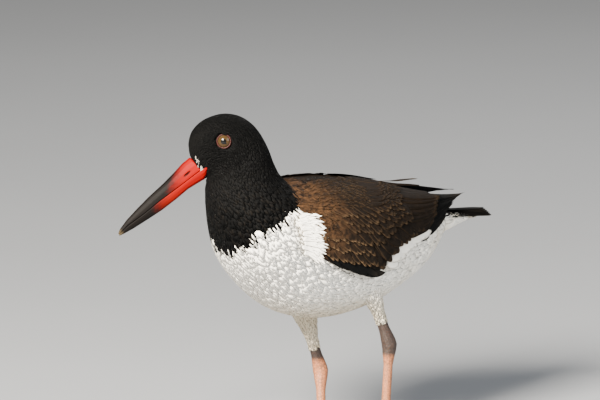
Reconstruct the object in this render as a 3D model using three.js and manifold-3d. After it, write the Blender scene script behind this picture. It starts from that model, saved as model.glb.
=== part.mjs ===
// An American oystercatcher, life size, standing in mid-step with its head turned to its right.
// Millimetres, +Z up. The bird faces -Y and its left side is +X. The floor is Z = 0.
import * as THREE from "three";
import { mergeVertices } from "three/addons/utils/BufferGeometryUtils.js";
import Module from "manifold-3d";

const wasm = await Module();
wasm.setup();

// Driving dimensions
const GAP = 0.3; // between touching pieces
const ORIGIN = [0, -4.4]; // X and Y that bring the middle of the bird's box to the origin
const NECK_AXIS_Y = -72; // the head turns about an upright line through X = 0 here
const HEAD_TURN = 32; // degrees, towards the bird's right
const BODY_SIDES = 20; // points round one section of the body
const BODY_SQUARENESS = 2.15; // 2 makes an ellipse, more a squarer section
const EGG_MIDDLE = 0.4; // height in a section, of 1, where an egg shape keeps its width
const RINGS_PER_SPAN = 2;
const BILL_SIDES = 16;
const BILL_SQUARENESS = 2.3;
const VANE_THICKNESS = 0.65;

// Sections of the plumage from rump to bill: the midline point on the back (y, z), the one on the
// belly (y, z), the half width, the share of the head's turn that the section has made, and how
// much wider the section is above than below.
const BODY = [
  [120, 178.5, 118, 158, 14, 0, 0],
  [105, 186.5, 104, 144, 24, 0, 0],
  [84, 196, 88, 132, 33, 0, 0],
  [60, 205.5, 65, 121, 40, 0, 0],
  [33, 213.5, 38, 112, 46, 0, 0],
  [5, 218.5, 5, 107, 50, 0, 0],
  [-20, 220.5, -24, 109, 52, 0, 0],
  [-36, 221.5, -50, 118.5, 52, 0, 0],
  [-41, 222, -72, 136, 49.5, 0, 0],
  [-43, 222.5, -91, 157, 45, 0.06, 0],
  [-44, 223.5, -102, 180, 39.5, 0.18, 0],
  [-46, 225.5, -107.5, 201, 33.5, 0.4, 0],
  [-50, 230.5, -109, 213, 29, 0.6, 0.05],
  [-54, 239, -109, 219, 26, 0.8, 0.1],
  [-58, 250, -108, 222.5, 23.5, 0.92, 0.15],
  [-64, 261.5, -108, 224.5, 21, 1, 0.2],
  [-71.5, 270.5, -107.5, 225.5, 19.5, 1, 0.25],
  [-82, 276.8, -107, 226, 18.4, 1, 0.3],
  [-95, 278.4, -107, 226.5, 17.2, 1, 0.32],
  [-109, 274, -107, 227, 15.5, 1, 0.32],
  [-118, 266, -107, 227.5, 13.4, 1, 0.3],
  [-121.4, 257, -107.3, 227.5, 10.8, 1, 0.2],
  [-121.3, 250, -108, 227, 8.8, 1, 0.1],
  [-120.4, 245, -109, 226, 7.4, 1, 0],
];
const TORSO_NECK_CUT = { back: [-40, 222], belly: [-98, 164], turn: 0.18 };
const NECK_HEAD_CUT = { back: [-57, 249], belly: [-108, 221], turn: 0.92 };

// Sections of the bill from its root in the head to its tip, before the head's turn:
// culmen (y, z), underside (y, z) and half width.
const BILL = [
  [-104.6, 240.4, -104.6, 237.8, 9.4],
  [-109.5, 240.8, -107, 234.2, 9],
  [-115.5, 241.8, -107.5, 229.6, 8.2],
  [-121, 244, -109, 226.4, 7.5],
  [-127, 239.2, -115.5, 222.6, 6.8],
  [-132.6, 233, -121.8, 218.9, 6.2],
  [-142.3, 223.4, -131.6, 210.8, 5.3],
  [-152.8, 214, -143, 202.2, 4.5],
  [-162.5, 204.4, -154.5, 194.9, 3.7],
  [-171.4, 194.9, -165.6, 188.1, 2.6],
  [-176.7, 187.7, -173.5, 183.9, 1.7],
  [-178, 184.4, -177, 182.4, 1],
];
// The mouth line, from behind the gape to past the tip
const MOUTH = [
  [-100, 239.8],
  [-104.9, 239.1],
  [-110, 237.1],
  [-128.3, 222.9],
  [-145.6, 210],
  [-158.5, 199.6],
  [-170.6, 190.7],
  [-177, 184],
  [-186, 174.6],
];
const MOUTH_SLIT = { gap: 0.4, width: 60 };
const NOSTRIL_SIDES = [12, 8];
const NOSTRIL = { x: 7.4, y: -123.6, z: 232, length: 8.5, height: 1.4, depth: 3, slope: 40 };

// The eye's middle, the height of its front over the head's midline, and its ring of bare skin
const EYE = { y: -92.3, z: 258, face: 17.6, radius: 6.2, opening: 4.7, forward: 12, up: 4 };
const EYE_RING = { radius: 6.3, depth: 5, lip: 0.7, bevel: 0.6 };
const EYE_SIDES = 18;
const EYE_DOME_STEPS = 4;

// Each leg's joints: the knee inside the plumage, the ankle and the pad over the toes. Heading is
// the middle toe's direction in degrees. With the heel raised, drop is how far the toes run
// forward while they slope down to the floor.
const LEGS = {
  left: { knee: [30, 14, 160], ankle: [32, 45.5, 83], pad: [31, 42, 26], heading: -4, drop: 8.6 },
  right: { knee: [-22, -12, 150], ankle: [-24, 20.7, 57], pad: [-8, 8.5, 4.6], heading: 8, drop: 0 },
};
const BARE_TIBIA = 22;
// Rows of (distance, half width, half depth) up the tibia and down the tarsus from the ankle, and
// down the tarsus measured from the pad
const TIBIA = [
  [21.7, 3.9, 4.3],
  [13, 4.2, 4.7],
  [5, 5, 6],
];
const ANKLE = [
  [1, 5.6, 6.6],
  [8, 4.6, 5.6],
  [17, 3.3, 4],
];
const PAD = [
  [-14, 3.3, 3.8],
  [-5, 4.2, 4.2],
  [0, 4.4, 4.4],
  [2.2, 3, 3],
];
// Feathered leg, up the tibia from the ankle
const CRUS = [
  [70, 13, 16],
  [54, 10, 12],
  [40, 7, 8],
  [30, 5.2, 5.8],
  [BARE_TIBIA, 4.3, 4.8],
];
const TOES = [
  { name: "inner", length: 29, spread: 27, root: -0.6 },
  { name: "middle", length: 36, spread: 0, root: -1.3 },
  { name: "outer", length: 31, spread: -27, root: 0.2 },
];
const SIDEWAYS = 0.9; // a rod that runs this much along X takes its width from Y
const LEG_SIDES = 12;
const CRUS_SIDES = 16;
const TOE_SIDES = 9;
const CLAW_SIDES = 7;
const TOE_RADIUS = 2.9;
const TOE_FLAT = 0.5; // how far a toe's underside is cut off flat by the floor
const TOE_ROOT = { wide: 3.8, deep: 3.6, rise: 0.6 };
const TOE_FLATTENING = 1.2; // how much faster a toe thins in height than in width
// A sloping first joint's middle, as shares of its run and of its drop, and its reach past them
const TOE_SLOPE = { run: 0.6, height: 0.55, past: 1 };
// A toe's last joint: its length, how much lower its middle and its end lie, and how much thinner
const TOE_TIP = { length: 4, lower: [0.3, 0.6], thinner: [0.3, 0.8] };
const TOE_LEVEL = { first: 0.25, pad: 6 }; // first joint's share of a flat toe, and the pad's reach
const CLAW = { length: 6, radius: 1.8, height: 2, tip: 0.5, middle: 0.5, narrowing: 0.8 };

// Wings. The height of a folded wing's bulge, as a share of its width
const WING_BULGE = 0.25;
const WING_ROUND = 1.15; // a bulging wing's width, measured round it, over its straight width
const WING_CORE = { first: -52, last: 106, stations: 7, across: 5, thickness: 8, rim: 1.2, inset: 0.03 };
// The core thins out over this many stations at its front and at its back, from a little inside
const WING_FADE = { front: 1.8, back: 3, start: 0.3 };
// A feather's usual shape: the height of one edge over the other, the share of its length that
// is rounded off, its least width as a share of the widest, and its rows along
const VANE = { tilt: 0.5, round: 0.4, blunt: 0.55, steps: 2, stray: 0.6 };
const VANE_ROOT = 0.6; // width at the root, as a share of the widest
const VANE_SWELL = 1.4; // how fast the width grows from the root
const VANE_BUNCHING = 0.8; // below 1, a feather's rows stand closer towards its tip
const STRAY_ACROSS = 0.01; // a stray feather's shift across the wing for each mm along it
const VANE_ARCH = 0.25; // height of the shaft over the edges
const VANE_BACK = 0.35; // how far the edges at the tip lie behind the shaft's end, in half widths
// Rows of wing feathers, from the deepest. Roots and tips are (y, share of the wing's width from
// its top edge) at the row's first and last feather. Lift is the height over the wing's face at
// the root, which is sunk in the core, and at the tip.
const PRIMARIES = {
  count: 6,
  roots: [[66, 0.93], [82, 0.32]],
  tips: [[114, 0.98], [147, 0.48]],
  half: [5.8, 5],
  lift: [-2.4, -0.6],
  form: { tilt: 0.4, round: 0.5, blunt: 0.25 },
};
// White beyond the greater coverts
const SECONDARIES = {
  count: 5,
  roots: [[18, 0.84], [58, 0.86]],
  tips: [[44, 1.07], [90, 1.02]],
  half: [6.2, 6.2],
  lift: [-2, -0.9],
  form: { tilt: 0.4 },
};
// Broad and round, over the folded primaries
const TERTIALS = {
  count: 4,
  roots: [[48, 0.8], [44, 0.34]],
  tips: [[95, 0.87], [112, 0.42]],
  half: [9, 8],
  lift: [-1.4, 0.9],
  form: { tilt: 0.55, round: 0.3, steps: 3 },
};
// Down to the wing's brown edge
const GREATER_COVERTS = {
  count: 6,
  roots: [[-2, 0.68], [54, 0.62]],
  tips: [[22, 0.95], [80, 0.92]],
  half: [7.6, 7.6],
  lift: [-1.2, 0.5],
};
// With the alula, a dark pointed strip along the lower edge
const PRIMARY_COVERTS = {
  count: 3,
  roots: [[-44, 0.88], [-16, 0.94]],
  tips: [[-8, 1.01], [21, 0.98]],
  half: [4, 5],
  lift: [-1.3, 0.3],
  form: { round: 0.7, blunt: 0.25 },
};
// A short scalloped row over the strip
const LESSER_PRIMARY_COVERTS = {
  count: 4,
  roots: [[-50, 0.72], [-10, 0.7]],
  tips: [[-32, 0.93], [8, 0.92]],
  half: [6.4, 6.4],
  lift: [-1, 1.3],
};
const MEDIAN_COVERTS = {
  count: 6,
  roots: [[-26, 0.4], [40, 0.36]],
  tips: [[-4, 0.7], [68, 0.66]],
  half: [7.8, 7.8],
  lift: [-1, 1.2],
};
const LESSER_COVERTS = {
  count: 4,
  roots: [[-48, 0.3], [-6, 0.16]],
  tips: [[-30, 0.58], [18, 0.42]],
  half: [7.6, 7.6],
  lift: [-1, 1.2],
};
// Over the wing's root
const FRONT_SCAPULARS = {
  count: 3,
  roots: [[-8, 0.34], [-2, 0.08]],
  tips: [[36, 0.4], [44, 0.12]],
  half: [7.5, 7.5],
  lift: [-1, 1.9],
};
const REAR_SCAPULARS = {
  count: 3,
  roots: [[26, 0.38], [34, 0.1]],
  tips: [[72, 0.42], [88, 0.15]],
  half: [9, 7.5],
  lift: [-1, 2.2],
};
// One feather of the right wing stands up out of line
const STRAY_SCAPULAR = {
  count: 1,
  roots: [[66, 0.1], [66, 0.1]],
  tips: [[113, 0.12], [113, 0.12]],
  half: [6, 6],
  lift: [-1, 5],
  form: { steps: 3 },
};
const WING_TIERS = [
  PRIMARIES,
  SECONDARIES,
  TERTIALS,
  GREATER_COVERTS,
  PRIMARY_COVERTS,
  LESSER_PRIMARY_COVERTS,
  MEDIAN_COVERTS,
  LESSER_COVERTS,
  FRONT_SCAPULARS,
  REAR_SCAPULARS,
];
// The top edge and the lower edge of each folded wing as (y, x, z)
const WINGS = {
  left: {
    side: 1,
    extra: [],
    top: [
      [-56, 23, 213.5],
      [-20, 14, 221],
      [15, 9, 219.5],
      [50, 7, 212],
      [80, 5, 204],
      [110, 4, 197],
      [130, 2.5, 193.5],
      [148, 1.5, 191],
    ],
    low: [
      [-56, 50.5, 171],
      [-44, 53.5, 164],
      [-29, 55.5, 156],
      [-14, 56.2, 150.5],
      [0, 55.5, 146.5],
      [14, 54.5, 144.5],
      [26, 53, 148],
      [44, 48.5, 159],
      [82, 36, 168],
      [100, 28, 173],
      [124, 17.5, 180],
      [148, 9.5, 187],
    ],
  },
  right: {
    side: -1,
    extra: [STRAY_SCAPULAR],
    top: [
      [-56, 23, 213.5],
      [-20, 14, 221],
      [15, 9, 219.5],
      [50, 6, 213],
      [80, 3, 206],
      [100, 1.5, 203],
      [125, 1.5, 197.5],
      [150, 2, 191.5],
    ],
    low: [
      [-56, 50.5, 171],
      [-44, 53.5, 164],
      [-29, 55.5, 156],
      [-14, 56.2, 150.5],
      [0, 55.5, 146.5],
      [14, 54.5, 144.5],
      [26, 53, 148],
      [44, 48.5, 159],
      [82, 36, 169],
      [100, 28, 175],
      [124, 18, 182.5],
      [150, 10, 188],
    ],
  },
};

// Tail: a core between the tail coverts, in rows as the body's, and vanes that overlap from the
// middle pair down
const TAIL = {
  feathers: 5,
  rootY: 126,
  rootZ: 178.6,
  tipY: 171,
  tipZ: 175,
  rootReach: 9,
  tipReach: 15,
  halfWidths: [4.5, 5.2, 5.8, 3.4],
  step: 0.95,
  back: 1.2,
  firstOut: 0.35,
  sideDrop: 0.5,
  rounding: 3,
};
const TAIL_CORE = [
  [120.6, 177.6, 118.8, 159.4, 12.8, 0],
  [129, 178.4, 128, 162, 14, 0],
  [142, 176.6, 142, 167, 14, 0],
  [154, 173.5, 154, 169.6, 12, 0],
];
const TAIL_SIDES = 14;

let seed = 11;
function random() {
  seed = (seed * 48271) % 2147483647;
  return seed / 2147483647;
}

const vector = (x, y, z) => new THREE.Vector3(x, y, z);
const lerp = (a, b, t) => a + (b - a) * t;
const radians = (degrees) => (degrees * Math.PI) / 180;

// A smooth curve through rows of numbers, at t from 0 to rows.length - 1
function along(rows, t) {
  const last = rows.length - 1;
  const i = Math.min(Math.floor(t), last - 1);
  const u = t - i;
  const row = (k) => rows[Math.max(0, Math.min(last, k))];
  return rows[i].map((_, c) => {
    const [a, b, d, e] = [row(i - 1)[c], row(i)[c], row(i + 1)[c], row(i + 2)[c]];
    return b + 0.5 * u * (d - a + u * (2 * a - 5 * b + 4 * d - e + u * (3 * (b - d) + e - a)));
  });
}

// A table whose first column is y, read at any y
function atY(rows, y) {
  const last = rows.length - 1;
  let i = 0;
  while (i < last - 1 && y > rows[i + 1][0]) i += 1;
  const t = i + (y - rows[i][0]) / (rows[i + 1][0] - rows[i][0]);
  return along(rows, Math.max(0, Math.min(last, t))).slice(1);
}

// The closed solid of a geometry
function solid(geometry) {
  const bare = geometry.index ? geometry.toNonIndexed() : geometry.clone();
  bare.deleteAttribute("normal");
  bare.deleteAttribute("uv");
  const merged = mergeVertices(bare, 1e-4);
  return new wasm.Manifold(
    new wasm.Mesh({
      numProp: 3,
      vertProperties: merged.attributes.position.array,
      triVerts: new Uint32Array(merged.index.array),
    }),
  );
}

// The closed solid that joins rings of as many points each, with a fan over both ends
function loft(rings) {
  const n = rings[0].length;
  const middle = (ring) => ring.reduce((sum, p) => sum.add(p), vector(0, 0, 0)).divideScalar(n);
  const points = [...rings.flat(), middle(rings[0]), middle(rings[rings.length - 1])];
  const faces = [];
  rings.slice(1).forEach((_, r) => {
    for (let k = 0; k < n; k += 1) {
      const [a, b] = [r * n + k, r * n + ((k + 1) % n)];
      faces.push(a, b, b + n, a, b + n, a + n);
    }
  });
  const end = (rings.length - 1) * n;
  for (let k = 0; k < n; k += 1) {
    faces.push(points.length - 2, (k + 1) % n, k);
    faces.push(points.length - 1, end + k, end + ((k + 1) % n));
  }
  const geometry = new THREE.BufferGeometry().setFromPoints(points);
  geometry.setIndex(faces);
  const made = solid(geometry);
  if (made.volume() > 0) return made;
  geometry.setIndex(faces.reverse());
  return solid(geometry);
}

// The biggest of a solid's separate bodies
function biggest(made) {
  const bodies = made.decompose();
  return bodies.reduce((best, body) => (body.volume() > best.volume() ? body : best), bodies[0]);
}

const union = (solids) => wasm.Manifold.union(solids);

// Turns a point with the head, by a share of its full turn
function turned(point, share) {
  const pivot = vector(0, NECK_AXIS_Y, 0);
  const axis = vector(0, 0, 1);
  return point.clone().sub(pivot).applyAxisAngle(axis, -radians(HEAD_TURN) * share).add(pivot);
}

// One section: a rounded oval between a midline point above and one below
function section(row, sides, grow = 0, squareness = BODY_SQUARENESS) {
  const [topY, topZ, lowY, lowZ, width, turn = 1, egg = 0] = row;
  const top = vector(0, topY, topZ);
  const low = vector(0, lowY, lowZ);
  const middle = top.clone().add(low).divideScalar(2);
  const half = top.clone().sub(low).divideScalar(2);
  half.setLength(half.length() + grow);
  const round = (v) => Math.sign(v) * Math.abs(v) ** (2 / squareness);
  return Array.from({ length: sides }, (_, k) => {
    const angle = (2 * Math.PI * k) / sides;
    const point = middle.clone().addScaledVector(half, round(Math.sin(angle)));
    point.x += (width * (1 + egg * (Math.sin(angle) - EGG_MIDDLE)) + grow) * round(Math.cos(angle));
    return turned(point, turn);
  });
}

function bodySolid(grow = 0) {
  const count = (BODY.length - 1) * RINGS_PER_SPAN;
  const rings = Array.from({ length: count + 1 }, (_, i) =>
    section(along(BODY, i / RINGS_PER_SPAN), BODY_SIDES, grow),
  );
  return loft(rings);
}

// Keeps what lies on the head's side of a slanting cut through the midline, or on the rump's side
function cutAcross(made, { back, belly, turn }, headSide) {
  const direction = vector(0, belly[1] - back[1], back[0] - belly[0]).normalize();
  if (direction.y > 0) direction.negate();
  const through = turned(vector(0, ...back), turn);
  const normal = direction.applyAxisAngle(vector(0, 0, 1), -radians(HEAD_TURN) * turn);
  if (!headSide) normal.negate();
  return biggest(made.trimByPlane(normal.toArray(), normal.dot(through) + GAP / 2));
}

// Bill
function billParts() {
  const whole = (grow) => loft(BILL.map((row) => section(row, BILL_SIDES, grow, BILL_SQUARENESS)));
  const { gap, width } = MOUTH_SLIT;
  const above = MOUTH.map(([y, z]) => new THREE.Vector2(y, z + gap / 2));
  const below = MOUTH.map(([y, z]) => new THREE.Vector2(y, z - gap / 2));
  const shape = new THREE.Shape([...above, ...below.reverse()]);
  const slit = new THREE.ExtrudeGeometry(shape, { depth: width, bevelEnabled: false });
  const frame = new THREE.Matrix4().makeBasis(vector(0, 1, 0), vector(0, 0, 1), vector(1, 0, 0));
  slit.applyMatrix4(frame).translate(-width / 2, 0, 0);
  turnGeometry(slit);
  const nostrils = [1, -1].map((side) => {
    const pit = new THREE.SphereGeometry(1, ...NOSTRIL_SIDES);
    pit.scale(NOSTRIL.depth, NOSTRIL.length / 2, NOSTRIL.height / 2);
    pit.rotateX(radians(NOSTRIL.slope));
    pit.translate(side * NOSTRIL.x, NOSTRIL.y, NOSTRIL.z);
    return solid(turnGeometry(pit));
  });
  const halves = whole(0).subtract(solid(slit)).decompose();
  const [first, second] = halves.sort((a, b) => b.volume() - a.volume());
  const topOf = (half) => half.boundingBox().max[2];
  const [upper, lower] = topOf(first) > topOf(second) ? [first, second] : [second, first];
  return { upper: biggest(upper.subtract(union(nostrils))), lower, clear: whole(GAP) };
}

function turnGeometry(geometry, share = 1) {
  geometry.translate(0, -NECK_AXIS_Y, 0);
  geometry.rotateZ(-radians(HEAD_TURN) * share);
  return geometry.translate(0, NECK_AXIS_Y, 0);
}

// A body of revolution round the eye's own axis, which starts at the middle of the head
function eyeLathe(side, profile) {
  const made = new THREE.LatheGeometry(
    profile.map(([r, h]) => new THREE.Vector2(r, h)),
    EYE_SIDES,
  );
  made.rotateZ((-side * Math.PI) / 2);
  made.rotateZ(-side * radians(EYE.forward));
  made.rotateY(-side * radians(EYE.up));
  made.translate(0, EYE.y, EYE.z);
  return solid(turnGeometry(made));
}

// An eyeball, the ring of bare skin round it, and the room for both in the head. Profiles are
// (radius, distance from the head's middle) pairs.
function eyeParts(side) {
  const dome = Array.from({ length: EYE_DOME_STEPS + 1 }, (_, i) => {
    const angle = (1 - i / EYE_DOME_STEPS) * Math.asin(EYE.opening / EYE.radius);
    const sag = EYE.radius * (1 - Math.cos(angle));
    return [EYE.radius * Math.sin(angle), EYE.face - sag];
  });
  const rim = dome[0][1];
  const { radius, depth, lip, bevel } = EYE_RING;
  const back = rim - depth;
  const lid = [
    [EYE.opening + GAP, back],
    [radius, back],
    [radius, rim - bevel],
    [radius - bevel, rim + lip - GAP / 2],
    [EYE.opening + lip, rim + lip],
    [EYE.opening + GAP, rim],
  ];
  const outer = radius + GAP;
  const beyond = rim + radius;
  const socket = [
    [0, back - GAP],
    [outer, back - GAP],
    [outer, beyond],
    [0, beyond],
  ];
  return {
    eye: eyeLathe(side, [[0, back], [EYE.opening, back], ...dome]),
    lid: eyeLathe(side, [...lid, lid[0]]),
    socket: eyeLathe(side, socket),
  };
}

// Legs
// A round rod through points, each with its own radius, side to side and front to back
function rod(stops, sides, floor = false, perSpan = 2) {
  const path = new THREE.CatmullRomCurve3(
    stops.map(({ at }) => vector(...at)),
    false,
    "centripetal",
  );
  const steps = (stops.length - 1) * perSpan;
  const rings = Array.from({ length: steps + 1 }, (_, i) => {
    const t = i / perSpan;
    const k = Math.min(Math.floor(t), stops.length - 2);
    const share = t - k;
    const eased = share * share * (3 - 2 * share);
    const wide = lerp(stops[k].wide, stops[k + 1].wide, eased);
    const deep = lerp(stops[k].deep, stops[k + 1].deep, eased);
    const point = path.getPoint(t / (stops.length - 1));
    const forward = path.getTangent(t / (stops.length - 1));
    const across = vector(1, 0, 0).addScaledVector(forward, -forward.x);
    if (Math.abs(forward.x) > SIDEWAYS) across.set(0, 1, 0).addScaledVector(forward, -forward.y);
    if (floor) across.crossVectors(forward, vector(0, 0, 1));
    across.normalize();
    const other = vector(0, 0, 0).crossVectors(forward, across);
    return Array.from({ length: sides }, (_, s) => {
      const angle = (2 * Math.PI * s) / sides;
      const p = point.clone().addScaledVector(across, wide * Math.cos(angle));
      p.addScaledVector(other, deep * Math.sin(angle));
      if (floor) p.z = Math.max(0, p.z);
      return p;
    });
  });
  return loft(rings);
}

const between = (a, b, t) => a.map((v, i) => lerp(v, b[i], t));

function legParts({ knee, ankle, pad, heading, drop }, side) {
  const tibia = vector(...knee).distanceTo(vector(...ankle));
  const tarsus = vector(...ankle).distanceTo(vector(...pad));
  const up = ([mm, wide, deep]) => ({ at: between(ankle, knee, mm / tibia), wide, deep });
  const down = ([mm, wide, deep]) => ({ at: between(ankle, pad, mm / tarsus), wide, deep });
  const byPad = ([mm, ...size]) => down([tarsus + mm, ...size]);
  const leg = rod([...TIBIA.map(up), ...ANKLE.map(down), ...PAD.map(byPad)], LEG_SIDES);
  const crus = rod(CRUS.map(up), CRUS_SIDES);
  const toes = TOES.map((toe) => toeParts(toe, pad, radians(heading - side * toe.spread), drop));
  return { leg, crus, toes };
}

// A toe runs from the pad along the floor. With the heel raised its first joint slopes down.
function toeParts({ name, length, root }, pad, direction, drop) {
  const [ahead, aside] = [-Math.cos(direction), Math.sin(direction)];
  const reach = (d, z) => [pad[0] + aside * d, pad[1] + ahead * d, z];
  const flat = TOE_RADIUS - TOE_FLAT;
  const stop = (d, z, less = 0) => ({
    at: reach(d, z),
    wide: TOE_RADIUS - less,
    deep: TOE_RADIUS - less * TOE_FLATTENING,
  });
  const { wide, deep, rise } = TOE_ROOT;
  const sloping = [
    { at: reach(root, pad[2] + root), wide, deep },
    stop(drop * TOE_SLOPE.run, pad[2] * TOE_SLOPE.height),
    stop(drop + TOE_SLOPE.past, flat),
  ];
  const level = [
    { at: reach(root, flat + rise), wide, deep },
    stop(length * TOE_LEVEL.first, flat),
  ];
  const onFloor = length - Math.hypot(drop, pad[2]) + CLAW.length;
  const end = drop ? drop + onFloor : length;
  const { lower, thinner } = TOE_TIP;
  const toe = rod(
    [
      ...(drop ? sloping : level),
      stop((end + (drop || TOE_LEVEL.pad)) / 2, flat),
      stop(end - TOE_TIP.length, flat - lower[0], thinner[0]),
      stop(end, flat - lower[1], thinner[1]),
    ],
    TOE_SIDES,
    true,
    1,
  );
  const { radius, height, tip, middle, narrowing } = CLAW;
  const narrow = radius * narrowing;
  const claw = rod(
    [
      { at: reach(end + GAP, height), wide: radius, deep: radius },
      { at: reach(end + CLAW.length * middle, height), wide: narrow, deep: narrow },
      { at: reach(end + CLAW.length, tip * 2), wide: tip, deep: tip },
    ],
    CLAW_SIDES,
    true,
  );
  return { name, toe, claw };
}

// A point of a wing: y along the bird, v from the top edge (0) to the lower one (1), and the
// height over the wing's outer face
function wingPoint({ top, low, side }, y, v, lift = 0) {
  const [tx, tz] = atY(top, y);
  const [lx, lz] = atY(low, y);
  const chord = Math.hypot(lx - tx, lz - tz);
  const [nx, nz] = [(tz - lz) / chord, (lx - tx) / chord];
  const height = WING_BULGE * chord * (4 * v * (1 - v)) + lift;
  return vector(side * (lerp(tx, lx, v) + nx * height), y, lerp(tz, lz, v) + nz * height);
}

function wingWidth({ top, low }, y) {
  const [tx, tz] = atY(top, y);
  const [lx, lz] = atY(low, y);
  return Math.hypot(lx - tx, lz - tz) * WING_ROUND;
}

// The wing's core: a plate between the outer face and one inside it, thin at its rims
function wingCore(shape) {
  const { first, last, stations, across, thickness, rim, inset } = WING_CORE;
  const { front, back, start } = WING_FADE;
  const rings = Array.from({ length: stations + 1 }, (_, i) => {
    const y = lerp(first, last, i / stations);
    const fade = Math.min(1, (i + start) / front, (stations - i + start) / back);
    const sunk = rim * (1 - fade);
    const face = (v, depth) => wingPoint(shape, y, v, -sunk - depth);
    const spread = Array.from({ length: across + 1 }, (_, k) => lerp(inset, 1 - inset, k / across));
    const depth = (v) => rim + thickness * fade * Math.sqrt(4 * v * (1 - v));
    const inner = [...spread].reverse().map((v) => face(v, depth(v)));
    return [...spread.map((v) => face(v, 0)), ...inner];
  });
  return loft(rings);
}

// A feather's half width at t from root (0) to tip (1), as a share of its widest
function vaneOutline(t, round, blunt) {
  const past = Math.max(0, (t - 1 + round) / round);
  return Math.max(blunt, Math.min(1, VANE_ROOT + VANE_SWELL * t) * Math.sqrt(1 - past * past));
}

// One feather on a wing: a thin leaf over the wing's face. One edge is tilted under its neighbour.
function wingVane(shape, vane) {
  const { root, tip, half, lift, tilt, round, blunt, steps } = vane;
  const width = wingWidth(shape, lerp(root[0], tip[0], 0.5));
  const run = [tip[0] - root[0], (tip[1] - root[1]) * width];
  const length = Math.hypot(...run);
  const across = [-run[1] / length, run[0] / length / width];
  const layer = (depth) =>
    Array.from({ length: steps + 1 }, (_, i) => {
      const t = (i / steps) ** VANE_BUNCHING;
      const w = vaneOutline(t, round, blunt) * half;
      return [-1, 0, 1].map((edge) => {
        const back = edge === 0 ? 0 : t * half * VANE_BACK;
        const y = root[0] + run[0] * t + edge * across[0] * w - (run[0] / length) * back;
        const v = lerp(root[1], tip[1], t) + edge * across[1] * w - (run[1] / length / width) * back;
        const arch = edge === 0 ? VANE_ARCH : 0;
        return wingPoint(shape, y, v, lerp(lift[0], lift[1], t) + arch + edge * tilt - depth);
      });
    });
  return leaf(layer(0), layer(VANE_THICKNESS));
}

// A row of feathers, with roots and tips spread between the row's two ends
function wingTier(shape, { count, roots, tips, half, lift, form }) {
  return Array.from({ length: count }, (_, i) => {
    const t = i / Math.max(1, count - 1);
    const place = ([from, to]) => [
      lerp(from[0], to[0], t) + VANE.stray * (random() - 0.5),
      lerp(from[1], to[1], t) + VANE.stray * STRAY_ACROSS * (random() - 0.5),
    ];
    const size = lerp(half[0], half[1], t);
    return wingVane(shape, { ...VANE, ...form, lift, root: place(roots), tip: place(tips), half: size });
  });
}

// The closed solid between two like grids of points, split into triangles alike on both faces
function leaf(above, below) {
  const rows = above.length;
  const n = above[0].length;
  const points = [...above.flat(), ...below.flat()];
  const at = (layer, r, k) => layer * rows * n + r * n + k;
  const faces = [];
  for (let r = 0; r < rows - 1; r += 1) {
    for (let k = 0; k < n - 1; k += 1) {
      const [a, b, c, d] = [[r, k], [r, k + 1], [r + 1, k + 1], [r + 1, k]];
      faces.push(at(0, ...a), at(0, ...b), at(0, ...c), at(0, ...a), at(0, ...c), at(0, ...d));
      faces.push(at(1, ...a), at(1, ...c), at(1, ...b), at(1, ...a), at(1, ...d), at(1, ...c));
    }
  }
  const rim = [];
  for (let k = 0; k < n - 1; k += 1) rim.push([0, k]);
  for (let r = 0; r < rows - 1; r += 1) rim.push([r, n - 1]);
  for (let k = n - 1; k > 0; k -= 1) rim.push([rows - 1, k]);
  for (let r = rows - 1; r > 0; r -= 1) rim.push([r, 0]);
  rim.forEach((a, i) => {
    const b = rim[(i + 1) % rim.length];
    faces.push(at(0, ...a), at(1, ...a), at(1, ...b), at(0, ...a), at(1, ...b), at(0, ...b));
  });
  const geometry = new THREE.BufferGeometry().setFromPoints(points);
  geometry.setIndex(faces);
  const made = solid(geometry);
  if (made.volume() > 0) return made;
  geometry.setIndex(faces.reverse());
  return solid(geometry);
}

function wingSolid(shape) {
  const tiers = [...WING_TIERS, ...shape.extra].flatMap((tier) => wingTier(shape, tier));
  return union([wingCore(shape), ...tiers]);
}

// Tail: overlapping vanes from a short core between the tail coverts
function tailSolid(grow = 0) {
  const core = loft(TAIL_CORE.map((row) => section(row, TAIL_SIDES, grow)));
  const vanes = [1, -1].flatMap((side) =>
    Array.from({ length: TAIL.feathers }, (_, i) => tailVane(side, i, grow)),
  );
  return union([core, ...vanes]);
}

function tailVane(side, i, grow) {
  const out = (i + TAIL.firstOut) / TAIL.feathers;
  const drop = (i + (side < 0 ? TAIL.sideDrop : 0)) * TAIL.step;
  const layer = (down) =>
    TAIL.halfWidths.map((width, s) => {
      const t = s / (TAIL.halfWidths.length - 1);
      const y = lerp(TAIL.rootY, TAIL.tipY - TAIL.rounding * out * out + grow, t);
      const x = side * out * lerp(TAIL.rootReach, TAIL.tipReach, t);
      const z = lerp(TAIL.rootZ, TAIL.tipZ, t) - drop;
      return [-1, 0, 1].map((edge) => {
        const back = edge === 0 ? 0 : TAIL.back;
        const arch = edge === 0 ? VANE_ARCH : 0;
        return vector(x + edge * (width + grow), y - back, z + arch + down);
      });
    });
  return leaf(layer(grow), layer(-VANE_THICKNESS - grow));
}

// Materials
const finish = (color, roughness) => new THREE.MeshStandardMaterial({ color, roughness, metalness: 0 });
const LOOKS = {
  hood: finish(0x14120f, 0.8),
  white: finish(0xe9e5da, 0.85),
  brown: finish(0x3d2c1e, 0.8),
  black: finish(0x17130f, 0.7),
  bill: finish(0xe2401e, 0.35),
  lid: finish(0xb4441c, 0.5),
  eye: finish(0xa8863c, 0.1),
  leg: finish(0xd9a184, 0.55),
  claw: finish(0x3a302b, 0.4),
};

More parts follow.
